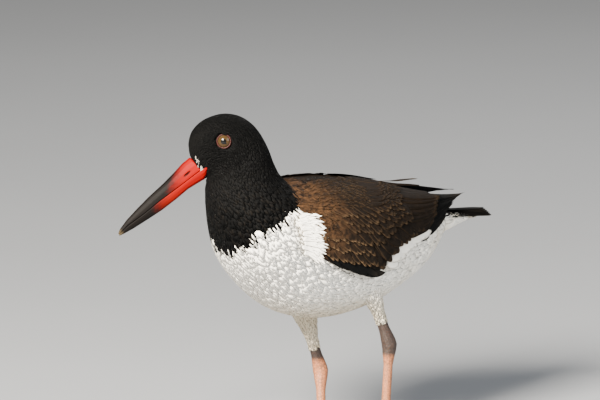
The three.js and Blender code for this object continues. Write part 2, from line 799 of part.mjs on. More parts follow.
const bird = new THREE.Group();
function add(name, made, look) {
  const mesh = made.getMesh();
  const geometry = new THREE.BufferGeometry();
  geometry.setAttribute("position", new THREE.BufferAttribute(mesh.vertProperties, 3));
  geometry.setIndex(new THREE.BufferAttribute(mesh.triVerts, 1));
  const piece = new THREE.Mesh(geometry, LOOKS[look]);
  piece.name = name;
  bird.add(piece);
}

const body = bodySolid();
const bill = billParts();
const eyes = { left: eyeParts(1), right: eyeParts(-1) };
const legs = { left: legParts(LEGS.left, 1), right: legParts(LEGS.right, -1) };
const bodyClear = bodySolid(GAP);
const tail = tailSolid();
const tailClear = tailSolid(GAP);

add("torso", cutAcross(body, TORSO_NECK_CUT, false), "white");
const neckUp = cutAcross(body, TORSO_NECK_CUT, true);
add("neck", cutAcross(neckUp, NECK_HEAD_CUT, false), "hood");
const sockets = union([eyes.left.socket, eyes.right.socket]);
const headUp = cutAcross(body, NECK_HEAD_CUT, true);
add("head", biggest(headUp.subtract(bill.clear).subtract(sockets)), "hood");
add("bill_upper", bill.upper, "bill");
add("bill_lower", bill.lower, "bill");
for (const side of ["left", "right"]) {
  add(side + "_eye", eyes[side].eye, "eye");
  add(side + "_eyelid", eyes[side].lid, "lid");
  const wing = wingSolid(WINGS[side]);
  add(side + "_wing", biggest(wing.subtract(bodyClear).subtract(tailClear)), "brown");
  const { leg, crus, toes } = legs[side];
  add(side + "_thigh", biggest(crus.subtract(bodyClear)), "white");
  const foot = union([leg, ...toes.map(({ toe }) => toe)]);
  add(side + "_leg", biggest(foot), "leg");
  toes.forEach(({ name, claw }) => add(`${side}_claw_${name}`, claw, "claw"));
}
add("tail", tail, "black");
bird.position.set(ORIGIN[0], ORIGIN[1], 0);

export default bird;
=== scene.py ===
"""A young American oystercatcher as a museum model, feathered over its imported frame."""

import math

import bpy
import numpy as np
from mathutils import Matrix, Vector


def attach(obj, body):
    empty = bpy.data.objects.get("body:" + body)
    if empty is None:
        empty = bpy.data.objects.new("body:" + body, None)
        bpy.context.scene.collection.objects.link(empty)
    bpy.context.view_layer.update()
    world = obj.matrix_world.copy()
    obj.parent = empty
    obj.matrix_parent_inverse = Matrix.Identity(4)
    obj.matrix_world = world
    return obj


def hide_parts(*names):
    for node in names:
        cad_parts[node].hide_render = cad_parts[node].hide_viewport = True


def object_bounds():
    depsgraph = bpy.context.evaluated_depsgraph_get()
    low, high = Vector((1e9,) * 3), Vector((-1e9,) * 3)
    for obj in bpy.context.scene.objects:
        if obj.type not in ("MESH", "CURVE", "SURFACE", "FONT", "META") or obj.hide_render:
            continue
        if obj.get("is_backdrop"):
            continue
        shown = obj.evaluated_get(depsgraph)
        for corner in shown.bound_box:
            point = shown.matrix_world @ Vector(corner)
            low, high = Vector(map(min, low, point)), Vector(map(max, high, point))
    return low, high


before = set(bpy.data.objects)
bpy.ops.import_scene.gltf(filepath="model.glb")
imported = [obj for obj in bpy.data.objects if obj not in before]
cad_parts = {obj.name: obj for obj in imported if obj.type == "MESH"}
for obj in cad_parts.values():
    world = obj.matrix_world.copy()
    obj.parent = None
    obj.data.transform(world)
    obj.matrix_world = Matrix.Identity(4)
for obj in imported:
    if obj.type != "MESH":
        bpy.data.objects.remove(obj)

bl_info = {
    "name": "Oystercatcher",
    "version": (1, 0, 0),
    "blender": (4, 5, 0),
    "location": "View3D > Sidebar > Oystercatcher",
    "description": "Skin, plumage, bare parts, stage and camera of a standing oystercatcher",
    "category": "Object",
}

# Sizes are millimetres of the bird's own space, and ORIGIN moves it to the frame's
MM = 0.001
ORIGIN = np.array([0.0, -4.4, 0.0])
# The head's turn in degrees, and the place of the upright line it turns about
HEAD_TURN = 32.0
NECK_AXIS_Y = -72.0
# Power of sine and cosine that makes a section a little squarer than an ellipse
SQUARENESS = 2 / 2.15
# Steps that scatter points evenly over a square
EVEN_STEPS = (0.7548776662, 0.5698402910)

# Sections of the body from rump to bill: back (y, z), belly (y, z), half width, share of the
# head's turn, egg shape
BODY = np.array([
    [120, 178.5, 118, 158, 14, 0, 0],
    [105, 186.5, 104, 144, 24, 0, 0],
    [84, 196, 88, 132, 33, 0, 0],
    [60, 205.5, 65, 121, 40, 0, 0],
    [33, 213.5, 38, 112, 46, 0, 0],
    [5, 218.5, 5, 107, 50, 0, 0],
    [-20, 220.5, -24, 109, 52, 0, 0],
    [-36, 221.5, -50, 118.5, 52, 0, 0],
    [-41, 222, -72, 136, 49.5, 0, 0],
    [-43, 222.5, -91, 157, 45, 0.06, 0],
    [-44, 223.5, -102, 180, 39.5, 0.18, 0],
    [-46, 225.5, -107.5, 201, 33.5, 0.4, 0],
    [-50, 230.5, -109, 213, 29, 0.6, 0.05],
    [-54, 239, -109, 219, 26, 0.8, 0.1],
    [-58, 250, -108, 222.5, 23.5, 0.92, 0.15],
    [-64, 261.5, -108, 224.5, 21, 1, 0.2],
    [-71.5, 270.5, -107.5, 225.5, 19.5, 1, 0.25],
    [-82, 276.8, -107, 226, 18.4, 1, 0.3],
    [-95, 278.4, -107, 226.5, 17.2, 1, 0.32],
    [-109, 274, -107, 227, 15.5, 1, 0.32],
    [-118, 266, -107, 227.5, 13.4, 1, 0.3],
    [-121.4, 257, -107.3, 227.5, 10.8, 1, 0.2],
    [-121.3, 250, -108, 227, 8.8, 1, 0.1],
    [-120.4, 245, -109, 226, 7.4, 1, 0],
])
TAIL_CORE = np.array([
    [112, 180.6, 110, 155.5, 13.6, 0, 0],
    [129, 178, 128, 162, 14, 0, 0],
    [142, 176.2, 142, 167, 14, 0, 0],
    [154, 173.3, 154, 169.6, 12, 0, 0],
])
TAIL_CORE_DEPTH = 2.2
# Rings along each skin, and corners round a ring
RINGS = {"body": (185, 96), "thigh": (30, 32), "tail": (30, 40)}
# Along the body: depth of the coat over the skin and length of its feathers
COAT_ROWS = [0, 2, 9, 12, 15, 19, 23]
COAT_DEPTH = [3.5, 4.6, 5, 3.8, 2.7, 2.4, 2]
COAT_LENGTH = [21, 18, 14, 8.5, 4.8, 3.4, 2.3]
# Each coat: its span along the body, the node it covers, its finish, how much wider it is spaced
COATS = {
    "coat_body": ((0, 9.2), "torso", "white_plumage", 1),
    "coat_neck": ((9.2, 14.5), "neck", "black_plumage", 1),
    "coat_head": ((14.5, 22.9), "head", "black_plumage", 1.5),
}
# Feathers in one piece of a coat, at most
MOST_FEATHERS = 9000
# The hood's edge as a place along the body, for the height round a section from belly to back
HOOD_HEIGHT = [-1, -0.5, 0.05, 0.48, 0.78, 0.92, 1]
HOOD_EDGE = [9.35, 9.8, 9.56, 9.3, 9.5, 11, 11.8]
# Height round a section over which the back is brown
BROWN_ABOVE = 0.5
# Pale bristles: how black and brown they are, and their share of the lore's feathers
BRISTLES = {"black": 0.35, "brown": 0.45, "share": 0.35}

# Each leg's knee and ankle
LEGS = {
    "left": ([30, 14, 160], [32, 45.5, 83]),
    "right": ([-22, -12, 150], [-24, 20.7, 57]),
}
# Height over the ankle where each leg's painted shadow of the belly starts
BELLY_SHADOW_FROM = {"left": -9, "right": 9}
# Up a feathered leg from its ankle: the place, half the width and half the depth
CRUS = np.array([
    [10, 5.4, 6.4], [16, 4.9, 5.6], [22, 4.8, 5.3], [30, 5.2, 5.8], [40, 7, 8], [54, 10, 12],
    [70, 13, 16],
])
CRUS_DEPTH = 2
# Places up a feathered leg: the skin's ends, the first and last roots, and the lowest tips
THIGH = {"skin": (22.2, 70), "roots": (27, 66), "tips": 19}

# An eye's middle is the head's, and its face stands out from there along the way it looks, which
# is turned forward and up by degrees
EYE = {
    "y": -92.3, "z": 258, "face": 17.6, "radius": 6.2, "opening": 4.7, "depth": 4.9,
    "forward": 12, "up": 4,
}
EYE_SIDES = 64
EYE_RING = 6.3
# The ring's round lip: its middle, half its width, its height, and how deep the ring is set
LID = {"middle": 5.4, "half": 0.55, "height": 0.5, "depth": 4.5}
# A dark fleck in the iris, forward and up from the pupil's middle
FLECK = (-1.6, -1.5)

# Before the head's turn: the bill's root and tip, the left nostril and the way it slopes, and
# half a nostril's length and width
BILL = {
    "root": [0, -115, 235.0], "tip": [0, -177.5, 183.0],
    "nostril": [7.4, -123.6, 232.0], "slope": [0, -0.766, -0.643], "slit": (5, 1.25),
}

# The bulge of a wing's face as a share of its width, and how much longer the way over it is
WING_BULGE = 0.25
WING_ROUND = 1.15
# The wings' edges as (y, x, z). Their front ends are the same on both sides.
TOP_FRONT = [[-56, 23, 213.5], [-20, 14, 221], [15, 9, 219.5]]
LOW_FRONT = [
    [-56, 50.5, 171], [-44, 53.5, 164], [-29, 55.5, 156], [-14, 56.2, 150.5], [0, 55.5, 146.5],
    [14, 54.5, 144.5], [26, 53, 148], [44, 48.5, 159],
]
WINGS = {
    "left": {
        "side": 1,
        "top": np.array(TOP_FRONT + [
            [50, 7, 212], [80, 5, 204], [110, 4, 197], [130, 2.5, 193.5], [148, 1.5, 191],
        ]),
        "low": np.array(LOW_FRONT + [
            [82, 36, 168], [100, 28, 173], [124, 17.5, 180], [148, 9.5, 187],
        ]),
    },
    "right": {
        "side": -1,
        "top": np.array(TOP_FRONT + [
            [50, 6, 213], [80, 3, 206], [100, 1.5, 203], [125, 1.5, 197.5], [150, 2, 191.5],
        ]),
        "low": np.array(LOW_FRONT + [
            [82, 36, 169], [100, 28, 175], [124, 18, 182.5], [150, 10, 188],
        ]),
    },
}
WING_CORE = {"first": -52, "last": 106, "stations": 40, "across": 16, "thickness": 8}
# How far a feather's ends stray: along the bird, and as a share of the wing's width
STRAY = [2.2, 0.018]


def tier(count, roots, tips, half, lift, rows=1, shift=(0, 0), look="brown", fringe=0.5, **form):
    """A row of wing feathers, or several rows that step by a shift of (y, share of the width)."""
    return dict(
        count=count, roots=roots, tips=tips, half=half, lift=lift, rows=rows, shift=shift,
        look=look, fringe=fringe, **form,
    )


# Listed from the deepest row out. A place is (y, share of the wing's width from its top edge).
WING_TIERS = [
    tier(9, [(64, 0.95), (82, 0.3)], [(112, 0.98), (147, 0.46)], 5, [-2.2, -0.4],
         look="black", fringe=0.06, tilt=0.4, round=0.55, blunt=0.2),
    tier(15, [(14, 0.82), (58, 0.86)], [(43, 1.06), (90, 1.02)], 3.2, [-1.8, -0.8],
         look="white", fringe=0, tilt=0.2),
    tier(7, [(46, 0.8), (44, 0.3)], [(94, 0.87), (112, 0.4)], 6.6, [-1.2, 1.0],
         fringe=0.35, tilt=0.4, round=0.3),
    tier(16, [(-6, 0.66), (54, 0.6)], [(19, 0.955), (80, 0.92)], 3.9, [-1.1, 0.6],
         fringe=0.55, tilt=0.3),
    tier(8, [(-46, 0.86), (-12, 0.93)], [(-22, 0.995), (21, 0.985)], 3.8, [-1.2, 0.3],
         look="black", fringe=0.15, round=0.7, blunt=0.25),
    tier(13, [(-50, 0.74), (-4, 0.74)], [(-35, 0.94), (13, 0.92)], 3.7, [-0.9, 0.9],
         rows=3, shift=(-7, -0.16), fringe=1, tilt=0.3),
    tier(15, [(-28, 0.5), (46, 0.46)], [(-9, 0.77), (66, 0.74)], 3.9, [-0.9, 0.8],
         rows=4, shift=(-13, -0.24), fringe=0.6, tilt=0.25),
    tier(15, [(-44, 0.2), (-38, 0.8)], [(-35, 0.3), (-28, 0.86)], 2.2, [-0.3, 0.4],
         rows=6, shift=(-13, -0.04), fringe=0.5, tilt=0.1, round=0.7, blunt=0.15),
    tier(19, [(-53, 0.44), (-51, 0.98)], [(-43, 0.46), (-40, 1.02)], 1.7, [0.1, 0.9],
         rows=5, shift=(-9, 0.03), look="white", fringe=0, tilt=0.1, blunt=0.1, round=0.8),
    tier(19, [(-44, 0.42), (18, 0.28)], [(-33, 0.56), (29, 0.42)], 2.3, [-0.3, 0.4],
         rows=8, shift=(-9, -0.28), fringe=0.6, tilt=0.1, round=0.7, blunt=0.15),
    tier(11, [(26, 0.42), (40, 0.06)], [(54, 0.46), (72, 0.1)], 3.4, [-0.5, 0.8],
         rows=6, shift=(-22, -0.04), fringe=0.5, tilt=0.12, round=0.6, blunt=0.2),
    tier(12, [(2, 0.38), (6, 0.03)], [(15, 0.43), (22, 0.06)], 2.3, [-0.3, 0.7],
         rows=10, shift=(-50, -0.03), fringe=0.55, tilt=0.1, round=0.7, blunt=0.15),
]
STRAY_SCAPULAR = tier(1, [(66, 0.1), (66, 0.1)], [(112, 0.12), (112, 0.12)], 5.6, [-1, 5],
                      fringe=0.5)
LOOKS = {"white": (0, 0), "black": (1, 0), "brown": (0, 1)}
# The long tail feathers of one side. Each lies a step under the one before.
TAIL = {
    "feathers": 6, "half": 6.3, "root_y": 124, "root_z": 178.4, "tip_y": 171, "tip_z": 175,
    "step": 0.75,
}

# In metres: the view's middle, right of and above the floor's middle, and the point that is lit
VIEW_MIDDLE = (-0.0194, 0.197)
LIT_POINT = (0, 0, 0.17)
FILM = 36
# Lamps: metres right, up and back in the view, size, share of the key's power, colour
LAMPS = {
    "key": ((-0.85, 0.85, 2.0), 0.6, 1, (1, 0.93, 0.82)),
    "fill": ((1.9, 0.7, 1.3), 1.6, 0.1, (0.92, 0.96, 1)),
    "rim": ((0.6, 1.5, -1.4), 1.0, 0.035, (1, 0.98, 0.95)),
}


def settings():
    return bpy.context.scene.oystercatcher


def along(rows, t):
    """A smooth curve through rows of numbers, at t from 0 to the last row."""
    last = len(rows) - 1
    i = np.clip(np.floor(t).astype(int), 0, last - 1)
    u = (t - i)[..., None]
    a, b, c, d = (rows[np.clip(i + k, 0, last)] for k in (-1, 0, 1, 2))
    return b + 0.5 * u * (c - a + u * (2 * a - 5 * b + 4 * c - d + u * (3 * (b - c) + d - a)))


def turned(points, share):
    """Points turned with the head by a share of its full turn."""
    angle = -np.radians(HEAD_TURN) * share
    x, y = points[..., 0], points[..., 1] - NECK_AXIS_Y
    return np.stack([
        x * np.cos(angle) - y * np.sin(angle),
        x * np.sin(angle) + y * np.cos(angle) + NECK_AXIS_Y,
        points[..., 2],
    ], -1)


def turned_way(way):
    """A direction turned with the head."""
    pivot = np.array([0, NECK_AXIS_Y, 0])
    return turned(pivot + way, 1) - pivot


def section_point(rows, r, angle, grow):
    """A point of a body built from sections: the place along, the angle round, the height over."""
    row = along(rows, r)
    zero = np.zeros_like(row[..., 0])
    top = np.stack([zero, row[..., 0], row[..., 1]], -1)
    low = np.stack([zero, row[..., 2], row[..., 3]], -1)
    half = (top - low) / 2
    half *= 1 + (grow / np.linalg.norm(half, axis=-1))[..., None]
    sine, cosine = np.sin(angle), np.cos(angle)
    point = (top + low) / 2 + half * (np.sign(sine) * np.abs(sine) ** SQUARENESS)[..., None]
    width = row[..., 4] * (1 + row[..., 6] * (sine - 0.4)) + grow
    point[..., 0] += width * np.sign(cosine) * np.abs(cosine) ** SQUARENESS
    return turned(point, row[..., 5])


def body_point(r, angle, height):
    """Height is over the skin, which lies under the outline by the coat's depth."""
    return section_point(BODY, r, angle, height - np.interp(r, COAT_ROWS, COAT_DEPTH))


def tail_core_point(r, angle, height):
    return section_point(TAIL_CORE, r, angle, height - TAIL_CORE_DEPTH)


def crus_point(knee, ankle):
    """The feathered leg's surface: millimetres up from the ankle, the angle round, the height."""
    knee, ankle = np.array(knee, float), np.array(ankle, float)
    up = (knee - ankle) / np.linalg.norm(knee - ankle)
    across = np.array([1.0, 0, 0]) - up * up[0]
    across /= np.linalg.norm(across)
    other = np.cross(up, across)

    def point(q, angle, height):
        wide = np.interp(q, CRUS[:, 0], CRUS[:, 1]) - CRUS_DEPTH + height
        deep = np.interp(q, CRUS[:, 0], CRUS[:, 2]) - CRUS_DEPTH + height
        return (
            ankle + up * q[..., None] + across * (wide * np.cos(angle))[..., None]
            + other * (deep * np.sin(angle))[..., None]
        )

    return point


def wing_point(shape):
    """A folded wing's surface: y along the bird, share of its width, height over its face."""
    def edge(rows, y):
        return along(rows, np.interp(y, rows[:, 0], np.arange(len(rows))))

    def point(y, v, height):
        y, v, height = np.broadcast_arrays(np.asarray(y, float), v, height)
        top, low = edge(shape["top"], y), edge(shape["low"], y)
        chord = np.hypot(low[..., 1] - top[..., 1], low[..., 2] - top[..., 2])
        nx, nz = (top[..., 2] - low[..., 2]) / chord, (low[..., 1] - top[..., 1]) / chord
        rise = WING_BULGE * chord * 4 * v * (1 - v) + height
        x = top[..., 1] + (low[..., 1] - top[..., 1]) * v + nx * rise
        z = top[..., 2] + (low[..., 2] - top[..., 2]) * v + nz * rise
        return np.stack([shape["side"] * x, y, z], -1)

    return point


def wing_width(shape, y):
    ends = [along(shape[e], np.interp(y, shape[e][:, 0], np.arange(len(shape[e]))))
            for e in ("top", "low")]
    return np.hypot(*(ends[1] - ends[0])[..., 1:].T) * WING_ROUND


def markings(r, angle, rng=None):
    """How black and how brown the body's plumage is at places of its surface. Small pale bristles
    stand at the bill's root and on the chin."""
    height = np.sin(angle)
    ragged = 0.0 if rng is None else rng.normal(0, 0.13, np.shape(r))
    edge = np.interp(height, HOOD_HEIGHT, HOOD_EDGE) + ragged + 0.06 * np.sin(9 * angle)
    black = (r > edge).astype(float)
    brown = (1 - black) * (height + 0.4 * np.asarray(ragged) > BROWN_ABOVE)
    if rng is not None:
        side = np.abs(np.arctan2(height, np.abs(np.cos(angle))))
        lore = (np.abs(r - 22.1) < 0.6) & (np.abs(side - 0.2) < 0.2) & (height > 0)
        chin = (r > 21.7) & (np.abs(side - 0.55) < 0.35) & (height < 0)
        pale = (lore & (rng.random(np.shape(r)) < BRISTLES["share"])) | chin
        black = np.where(pale, BRISTLES["black"], black)
        brown = np.where(pale, BRISTLES["brown"], brown)
    return black, brown


def grid(first, last, stations, around):
    """Places along and angles round for rings of points."""
    return np.meshgrid(
        np.linspace(first, last, stations), np.linspace(0, 2 * np.pi, around + 1)[:-1],
        indexing="ij",
    )


# Meshes
class Sheaf:
    """Collects vertices, faces, map places and values for one mesh."""

    def __init__(self):
        self.points, self.faces, self.places, self.values, self.smooth = [], [], [], [], []
        self.count = 0

    def add(self, points, faces, places, smooth, **values):
        """Places are one (u, v) for each corner of each face. Smooth is a flag for each face."""
        self.smooth.append(smooth)
        self.points.append(points.reshape(-1, 3))
        self.faces.extend((np.asarray(f) + self.count).tolist() for f in faces)
        self.places.extend(np.asarray(p).reshape(-1, 2) for p in places)
        n = len(self.points[-1])
        self.values.append({k: np.broadcast_to(v, n) for k, v in values.items()})
        self.count += n

    def build(self, name, material, nodes):
        points = (np.concatenate(self.points) + ORIGIN) * MM
        faces = [face for group in self.faces for face in group]
        mesh = bpy.data.meshes.new(name)
        mesh.from_pydata(points.tolist(), [], faces)
        for key in self.values[0]:
            layer = mesh.attributes.new(key, "FLOAT", "POINT")
            layer.data.foreach_set("value", np.concatenate([v[key] for v in self.values]))
        uv = mesh.uv_layers.new(name="OFBake")
        uv.data.foreach_set("uv", np.concatenate(self.places).ravel())
        finish(name, mesh, material, nodes)
        mesh.polygons.foreach_set("use_smooth", np.concatenate(self.smooth))


def finish(name, mesh, material, nodes):
    """Makes a piece of a mesh, with its finish and what it stands for in the frame."""
    mesh.shade_smooth()
    mesh.materials.clear()
    mesh.materials.append(bpy.data.materials[material])
    piece = bpy.data.objects.new(name, mesh)
    bpy.context.scene.collection.objects.link(piece)
    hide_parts(*nodes)
    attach(piece, "root")


# Feather values of a surface that has no feathers
PLAIN = {"along": 0.6, "aside": 0.5, "barb": 0.0, "tone": 0.5, "fringe": 0.0}


def add_rings(sheaf, points, square, **values):
    """Rings of points closed round and at both ends. Square is the part of the map they fill."""
    rows, n = points.shape[:2]
    r, k = (g.ravel() for g in np.meshgrid(np.arange(rows - 1), np.arange(n), indexing="ij"))
    m = (k + 1) % n
    quads = np.stack([r * n + k, r * n + m, (r + 1) * n + m, (r + 1) * n + k], -1)
    x0, y0, x1, y1 = square
    place = lambda row, col: np.stack(
        [x0 + (x1 - x0) * col / n, y0 + (y1 - y0) * (0.05 + 0.9 * row / (rows - 1))], -1
    )
    corners = np.stack([place(r, k), place(r, k + 1), place(r + 1, k + 1), place(r + 1, k)], 1)
    ring = np.arange(n)
    angle = 2 * np.pi * ring / n
    cap = np.stack([
        x0 + (x1 - x0) * (0.5 + 0.45 * np.cos(angle)), y0 + (y1 - y0) * 0.02 * (1 + np.sin(angle))
    ], -1)
    faces = [quads, [ring[::-1]], [ring + (rows - 1) * n]]
    places = [corners, cap[::-1], cap + [0, (y1 - y0) * 0.955]]
    smooth = np.arange(len(quads) + 2) < len(quads)
    sheaf.add(points, faces, places, smooth, **{**PLAIN, **values})


def add_vanes(sheaf, points, length, half, place, **values):
    """Closed feathers from an array of points (feather, row along, column across, xyz)."""
    n, rows, cols = points.shape[:3]
    base = (np.arange(n) * rows * cols)[:, None]
    at = lambda r, c: r * cols + c
    top = [[at(r, c), at(r, c + 1), at(r + 1, c + 1), at(r + 1, c)]
           for r in range(rows - 1) for c in range(cols - 1)]
    under = [[at(r + 1, 0), at(r + 1, cols - 1), at(r, cols - 1), at(r, 0)]
             for r in range(rows - 1)]
    quads = np.array(top + under)
    ends = np.array([[at(0, c) for c in range(cols - 1, -1, -1)],
                     [at(rows - 1, c) for c in range(cols)]])
    t = np.repeat(np.linspace(0, 1, rows), cols)
    s = np.tile(np.linspace(-1, 1, cols), rows)
    local = np.stack([s / 2, t - 0.5], -1) * 0.003
    corner = lambda shape: (place[:, None, None] + local[shape]).reshape(-1, 2)
    full = lambda v: np.repeat(np.broadcast_to(v, n), rows * cols)
    each = lambda v: np.tile(v, n)
    sheaf.add(
        points,
        [(base[:, None] + quads).reshape(-1, 4), (base[:, None] + ends).reshape(-1, cols)],
        [corner(quads), corner(ends)],
        np.append(np.tile(np.arange(len(quads)) < len(top), n), np.zeros(2 * n, bool)),
        along=each(t), aside=each(s), barb=full(length) * each(t) + full(half) * each(np.abs(s)),
        **{key: full(value) for key, value in values.items()},
    )


def width_at(t, blunt=0.3, rounding=0.45):
    """A feather's half width from root (0) to tip (1), as a share of its widest."""
    past = np.clip((t - 1 + rounding) / rounding, 0, 1)
    return np.maximum(blunt * np.minimum(1, t * 4 + 0.4), np.minimum(1, 0.45 + 1.6 * t)
                      * np.sqrt(1 - past ** 2))


def spread(surface, span, spacing):
    """Places on a surface, even over its area for a spacing that varies along it."""
    u = np.linspace(*span, 160)
    v = np.linspace(0, 2 * np.pi, 121)[:-1]
    grid_u, grid_v = np.meshgrid(u, v, indexing="ij")
    zero, e = np.zeros_like(grid_u), 1e-3
    here = surface(grid_u, grid_v, zero)
    side_u = (surface(grid_u + e, grid_v, zero) - here) / e
    side_v = (surface(grid_u, grid_v + e, zero) - here) / e
    area = np.linalg.norm(np.cross(side_u, side_v), axis=-1)
    weight = area / spacing(grid_u) ** 2
    count = int(weight.sum() * (u[1] - u[0]) * (v[1] - v[0]))
    first, second = ((0.5 + np.arange(count) * step) % 1 for step in EVEN_STEPS)
    rows = np.cumsum(weight.sum(1))
    place_u = np.interp(first, rows / rows[-1], u)
    row = np.clip(np.searchsorted(rows / rows[-1], first), 0, len(u) - 1)
    columns = np.cumsum(weight, axis=1)
    columns /= columns[:, -1:]
    spot = (columns[row] < second[:, None]).sum(1)
    before = np.where(spot > 0, columns[row, np.maximum(spot - 1, 0)], 0)
    share = (second - before) / np.maximum(columns[row, spot] - before, 1e-9)
    place_v = (spot + share) * (v[1] - v[0])
    return place_u, place_v


def lie(surface, u, v, way, length, half, heights, rng, low=None):
    """Feather points over a surface. Each runs along the surface's first direction."""
    n, rows = len(u), 4
    twist = rng.normal(0, 0.16, n)
    bend = rng.normal(0, 0.1, n)
    e = 1e-3
    points = np.zeros((n, rows, 3, 3))
    u, v = u.copy(), v.copy()
    for k in range(rows):
        t = k / (rows - 1)
        zero = np.zeros(n)
        here = surface(u, v, zero)
        speed_u = np.linalg.norm(surface(u + e, v, zero) - here, axis=-1) / e + 1e-6
        speed_v = np.linalg.norm(surface(u, v + e, zero) - here, axis=-1) / e + 1e-6
        height = heights[0] + (heights[1] - heights[0]) * t ** 0.75
        wide = half * width_at(t)
        for c, s in enumerate((-1, 0, 1)):
            arch = 0.05 * half * (s == 0)
            points[:, k, c] = surface(u, v + s * wide / speed_v, height + arch)
        step = length / (rows - 1)
        u = u + way * step * np.cos(twist + bend * t) / speed_u
        v = v + step * np.sin(twist + bend * t) / speed_v
        if low is not None:
            u = np.maximum(u, low)
    return points


def build_parts(name, pieces, material, nodes):
    """Builds feathers as one piece, or as several where they are too many for one."""
    count = len(pieces["points"])
    parts = math.ceil(count / MOST_FEATHERS)
    for i in range(parts):
        pick = slice(i * count // parts, (i + 1) * count // parts)
        sheaf = Sheaf()
        add_vanes(sheaf, **{key: value[pick] for key, value in pieces.items()})
        title = name if parts == 1 else f"{name}_{i + 1}"
        sheaf.build(title, material, nodes)


# Shader sums
class Flow:
    """A shader value that can be used in Python sums."""

    def __init__(self, tree, socket):
        self.tree, self.socket = tree, socket

    def math(self, operation, *others):
        node = self.tree.nodes.new("ShaderNodeMath")
        node.operation = operation
        for slot, value in zip(node.inputs, (self, *others)):
            feed(self.tree, value, slot)
        return Flow(self.tree, node.outputs[0])

    def __add__(self, other):
        return self.math("ADD", other)

    __radd__ = __add__

    def __mul__(self, other):
        return self.math("MULTIPLY", other)

    __rmul__ = __mul__

    def __sub__(self, other):
        return self.math("SUBTRACT", other)

    def __rsub__(self, other):
        return (self * -1) + other

    def __abs__(self):
        return self.math("ABSOLUTE")

    def sine(self):
        return self.math("SINE")

    def most(self, other):
        return self.math("MAXIMUM", other)

    def step(self, low, high):
        """Smoothly from 0 at low to 1 at high."""
        node = self.tree.nodes.new("ShaderNodeMapRange")
        node.interpolation_type = "SMOOTHSTEP"
        for slot, value in zip(node.inputs, (self, low, high, 0, 1)):
            feed(self.tree, value, slot)
        return Flow(self.tree, node.outputs[0])


def feed(tree, value, slot):
    if isinstance(value, Flow):
        tree.links.new(value.socket, slot)
    else:
        slot.default_value = value


class Surface:
    """A material under construction."""

    def __init__(self, name, **constants):
        self.material = bpy.data.materials.new(name)
        self.material.use_nodes = True
        self.tree = self.material.node_tree
        self.shader = self.tree.nodes["Principled BSDF"]
        for key, value in constants.items():
            self.set(key.replace("_", " "), value)

    def set(self, name, value):
        feed(self.tree, value, self.shader.inputs[name])

    def node(self, kind, output=0, options=(), **values):
        node = self.tree.nodes.new(kind)
        for key, value in dict(options).items():
            setattr(node, key, value)
        for key, value in values.items():
            feed(self.tree, value, node.inputs[key.replace("_", " ")])
        return Flow(self.tree, node.outputs[output])

    def value(self, name):
        return self.node("ShaderNodeAttribute", "Fac", {"attribute_name": name})

    def noise(self, scale, detail=3.0, rough=0.5):
        place = self.node("ShaderNodeTexCoord", "Object")
        return self.node(
            "ShaderNodeTexNoise", 0, Vector=place, Scale=scale, Detail=detail, Roughness=rough
        )

    def axis(self, name):
        place = self.node("ShaderNodeTexCoord", "Object")
        return self.node("ShaderNodeSeparateXYZ", name, Vector=place)

    def mix(self, share, first, second):
        node = self.tree.nodes.new("ShaderNodeMix")
        node.data_type = "RGBA"
        for slot, value in ((0, share), (6, first), (7, second)):
            full = (*value, 1) if isinstance(value, tuple) else value
            feed(self.tree, full, node.inputs[slot])
        return Flow(self.tree, node.outputs[2])

    def bump(self, height, distance, strength):
        self.set("Normal", self.node(
            "ShaderNodeBump", 0, Height=height, Distance=distance, Strength=strength
        ))


def plumage_material():
    s = Surface("plumage", Specular_IOR_Level=0.05)
    along_, aside = s.value("along"), abs(s.value("aside"))
    tone, black, brown, fringe = (s.value(k) for k in ("tone", "black", "brown", "fringe"))
    fine = s.noise(900.0, 4.0, 0.7)
    mottle = s.noise(260.0, 3.0, 0.7)
    broad = s.noise(45.0, 3.0)
    shade = (0.7 + 0.3 * along_.step(0.0, 0.7)) * (0.8 + 0.3 * tone)
    white = s.mix(shade, (0.72, 0.68, 0.6), (0.93, 0.89, 0.8))
    cream = (s.axis("Y").step(0.03, 0.1) * broad.step(0.45, 0.7)) * 0.55
    white = s.mix(cream, white, (0.72, 0.6, 0.4))
    # Painted shade on the underside: below a height the white is darkened towards a warm brown, in
    # patches
    low = (1 - s.axis("Z").step(0.105, 0.14)) * (0.55 + 0.45 * broad)
    white = s.mix(low, white, (0.5, 0.42, 0.28))
    rear = s.axis("Y").step(-0.045, -0.005)
    ruddy = s.mix(rear, (0.048, 0.0235, 0.0105), (0.0075, 0.0045, 0.0026))
    ruddy = s.mix(s.axis("Z").step(0.145, 0.2), (0.0085, 0.006, 0.004), ruddy)
    worn = tone * 0.35 + mottle.step(0.35, 0.68) * 0.75
    umber = s.mix(worn, (0.0032, 0.0024, 0.0019), ruddy)
    rim = (aside.step(0.62, 1.0) * 0.7 + along_.step(0.82, 1.0)) * fringe * (0.4 + fine)
    umber = s.mix(rim.math("MINIMUM", 1.0), umber, (0.075, 0.046, 0.024))
    lit = 0.9 - 0.75 * s.axis("Z").step(0.2, 0.24)
    flecks = tone.step(0.5, 1.0) * along_.step(0.5, 1.0) * lit
    hood = s.mix(flecks, (0.0016, 0.0016, 0.0016), (0.01, 0.0082, 0.0065))
    colour = s.mix(brown, white, umber)
    s.set("Base Color", s.mix(black, colour, hood))
    s.set("Roughness", 0.85 - 0.12 * black.most(brown))
    ridges = (s.value("barb") * 6.5).sine() * 0.5 + fine
    s.bump(ridges, 0.00012, 0.55)


